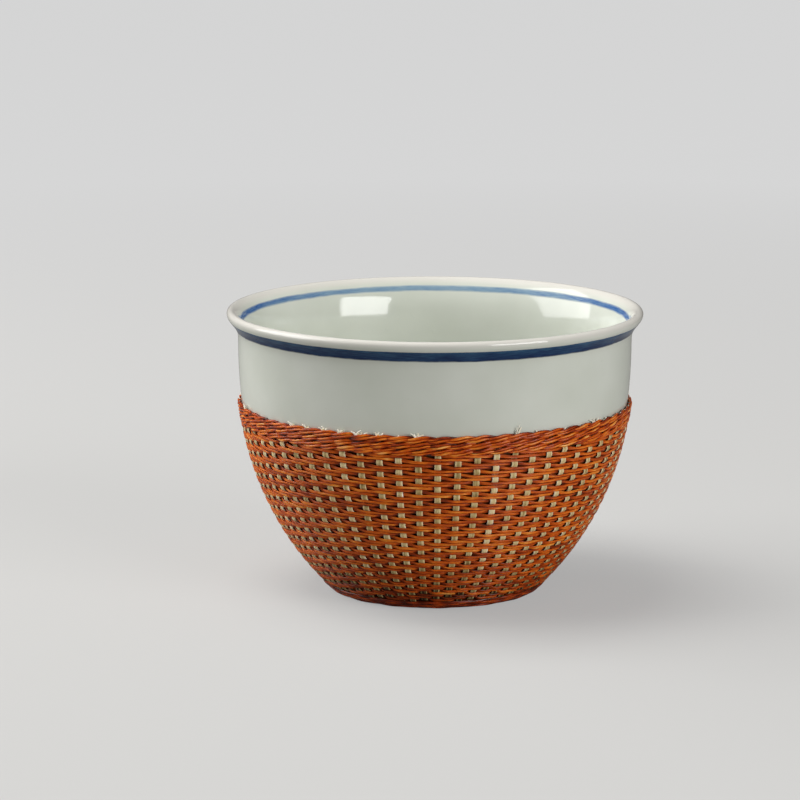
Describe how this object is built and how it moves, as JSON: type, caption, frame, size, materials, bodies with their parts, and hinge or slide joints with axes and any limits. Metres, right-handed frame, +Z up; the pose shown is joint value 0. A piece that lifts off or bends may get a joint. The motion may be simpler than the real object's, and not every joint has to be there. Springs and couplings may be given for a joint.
{
  "type": "tea cup with woven bamboo jacket",
  "caption": "Handleless porcelain tea cup with a rolled lip and blue rim lines, in a close-fitting woven bamboo jacket.",
  "frame": {"origin": "centre of the foot ring, on the surface that the cup stands on", "axes": "+Z up along the cup's axis; the cup is round, so X and Y are any two level directions"},
  "size_m": [0.086, 0.086, 0.0587],
  "materials": {
    "glazed_porcelain": "glossy pale grey-green glaze",
    "cobalt_line": "cobalt blue brushed under a glossy glaze",
    "pale_bamboo": "split bamboo, undyed, satin",
    "dyed_bamboo": "fine split bamboo, dyed orange-brown, satin",
    "dyed_bamboo_border": "twined split bamboo, dyed orange-brown, satin"
  },
  "bodies": {
    "root": {"porcelain_cup": "glazed_porcelain", "outer_blue_line": "cobalt_line", "inner_blue_line": "cobalt_line", "stakes": "pale_bamboo", "woven_band_1": "dyed_bamboo", "woven_band_2": "dyed_bamboo", "woven_band_3": "dyed_bamboo", "woven_band_4": "dyed_bamboo", "woven_band_5": "dyed_bamboo", "woven_band_6": "dyed_bamboo", "woven_band_7": "dyed_bamboo", "woven_band_8": "dyed_bamboo", "top_border_row_1": "dyed_bamboo_border", "top_border_row_2": "dyed_bamboo_border", "top_border_row_3": "dyed_bamboo_border", "base_border_row_1": "dyed_bamboo_border", "base_border_row_2": "dyed_bamboo_border"}
  },
  "joints": []
}
